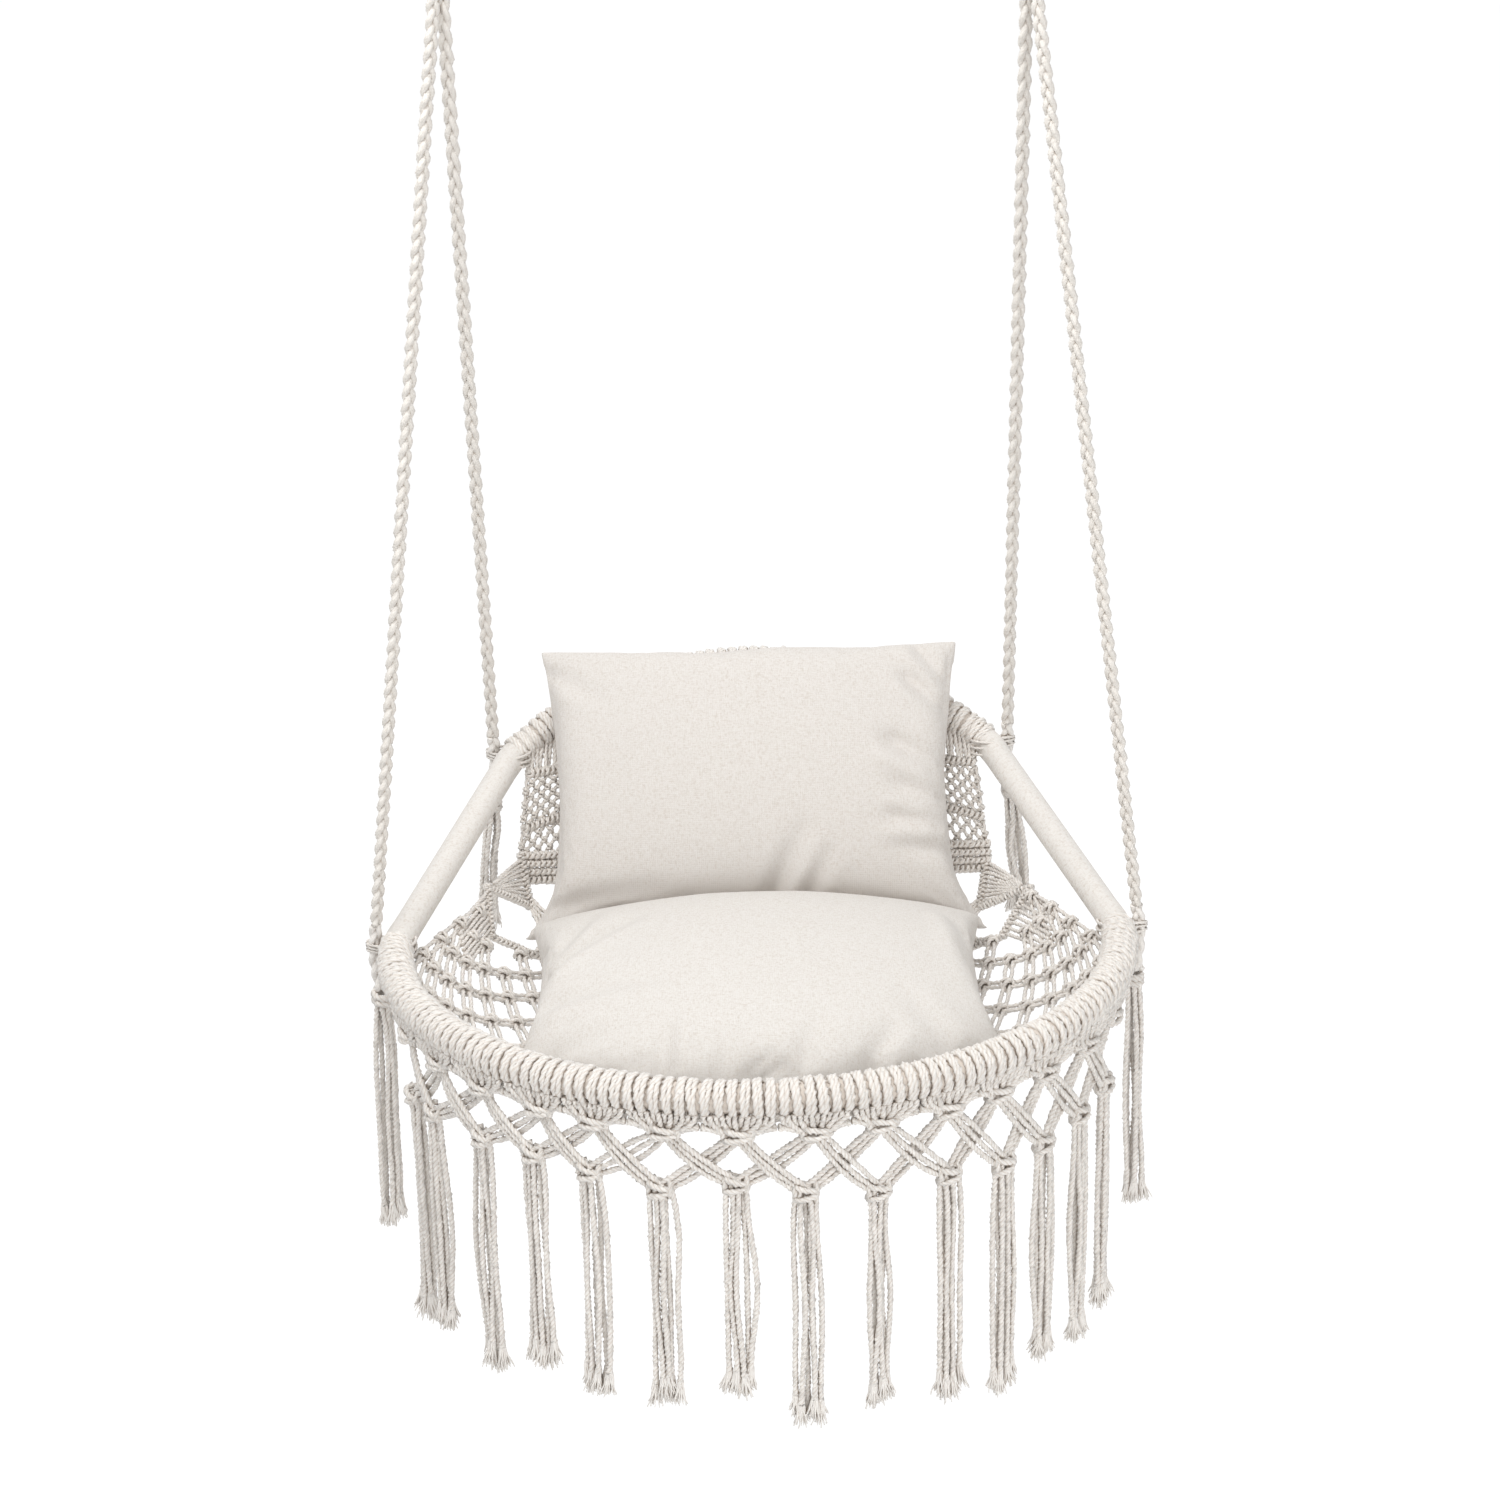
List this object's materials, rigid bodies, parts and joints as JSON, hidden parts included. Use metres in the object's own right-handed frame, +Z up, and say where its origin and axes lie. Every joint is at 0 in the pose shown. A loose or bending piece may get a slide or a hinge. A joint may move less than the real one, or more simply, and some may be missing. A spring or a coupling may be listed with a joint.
{
  "type": "hammock chair",
  "caption": "Round hanging hammock chair of knotted cotton cord on a steel rim, with side bars, a tasselled fringe, four braided ropes and loose seat and back cushions.",
  "frame": {"origin": "midway between the two points on which the hanging rings bear, at the top of their bores", "axes": "+Z up against gravity, +Y from the front of the seat to its back, +X to the right as seen from the front"},
  "size_m": [0.8466, 0.7566, 1.5064],
  "materials": {
    "tube_steel": "powder-coated steel tube, hidden under the cord",
    "ring_steel": "plain steel",
    "head_cord": "twisted cotton cord in close lark's heads",
    "side_yarn": "fine yarn wound close",
    "binding_cord": "wound cotton cord",
    "fringe_cord": "three-ply twisted cotton cord",
    "net_cord": "knotted cotton cord",
    "rope": "braided cotton rope",
    "seat_cushion_linen": "plain woven linen-cotton",
    "back_cushion_linen": "plain woven linen-cotton",
    "wadding": "polyester wadding",
    "zip_tape": "woven zip tape"
  },
  "bodies": {
    "hanging_rings": {"left_hanging_ring": "ring_steel", "right_hanging_ring": "ring_steel"},
    "swing": {"front_arc_tube": "tube_steel", "back_arc_tube": "tube_steel", "left_side_tube": "tube_steel", "right_side_tube": "tube_steel", "left_front_elbow": "tube_steel", "left_back_elbow": "tube_steel", "right_front_elbow": "tube_steel", "right_back_elbow": "tube_steel", "left_front_rim_wrap_1": "head_cord", "left_front_rim_wrap_2": "head_cord", "left_front_rim_wrap_3": "head_cord", "right_front_rim_wrap_1": "head_cord", "right_front_rim_wrap_2": "head_cord", "right_front_rim_wrap_3": "head_cord", "left_back_rim_wrap": "head_cord", "right_back_rim_wrap": "head_cord", "left_side_wrap": "side_yarn", "right_side_wrap": "side_yarn", "left_front_binding": "binding_cord", "left_back_binding": "binding_cord", "right_front_binding": "binding_cord", "right_back_binding": "binding_cord", "fringe_lattice": "fringe_cord", "fringe_tassel_01": "fringe_cord", "fringe_tassel_02": "fringe_cord", "fringe_tassel_03": "fringe_cord", "fringe_tassel_04": "fringe_cord", "fringe_tassel_05": "fringe_cord", "fringe_tassel_06": "fringe_cord", "fringe_tassel_07": "fringe_cord", "fringe_tassel_08": "fringe_cord", "fringe_tassel_09": "fringe_cord", "fringe_tassel_10": "fringe_cord", "fringe_tassel_11": "fringe_cord", "fringe_tassel_12": "fringe_cord", "fringe_tassel_13": "fringe_cord", "fringe_tassel_14": "fringe_cord", "seat_net": "net_cord", "back_net_upper": "net_cord", "back_net_lower": "net_cord", "back_hitch_bar": "net_cord", "crease_hitch_bar": "net_cord", "left_rope_eye": "rope", "right_rope_eye": "rope", "left_front_rope": "rope", "left_back_rope": "rope", "right_front_rope": "rope", "right_back_rope": "rope", "left_front_rope_tail": "rope", "left_back_rope_tail": "rope", "right_front_rope_tail": "rope", "right_back_rope_tail": "rope"},
    "seat_cushion": {"seat_cushion_cover": "seat_cushion_linen", "seat_cushion_zip": "zip_tape", "seat_cushion_wadding": "wadding"},
    "back_cushion": {"back_cushion_cover": "back_cushion_linen", "back_cushion_zip": "zip_tape", "back_cushion_wadding": "wadding"}
  },
  "joints": [
    {"name": "swing_sway", "type": "hinge", "parent": "hanging_rings", "child": "swing", "pos_m": [0, 0, -0.054], "axis": [1, 0, 0], "range_deg": [-30, 30]},
    {"name": "seat_cushion_lift", "type": "slide", "parent": "swing", "child": "seat_cushion", "axis": [0, 0, 1], "range_m": [0, 0.3]},
    {"name": "back_cushion_lift", "type": "slide", "parent": "swing", "child": "back_cushion", "axis": [0, 0, 1], "range_m": [0, 0.35]}
  ]
}
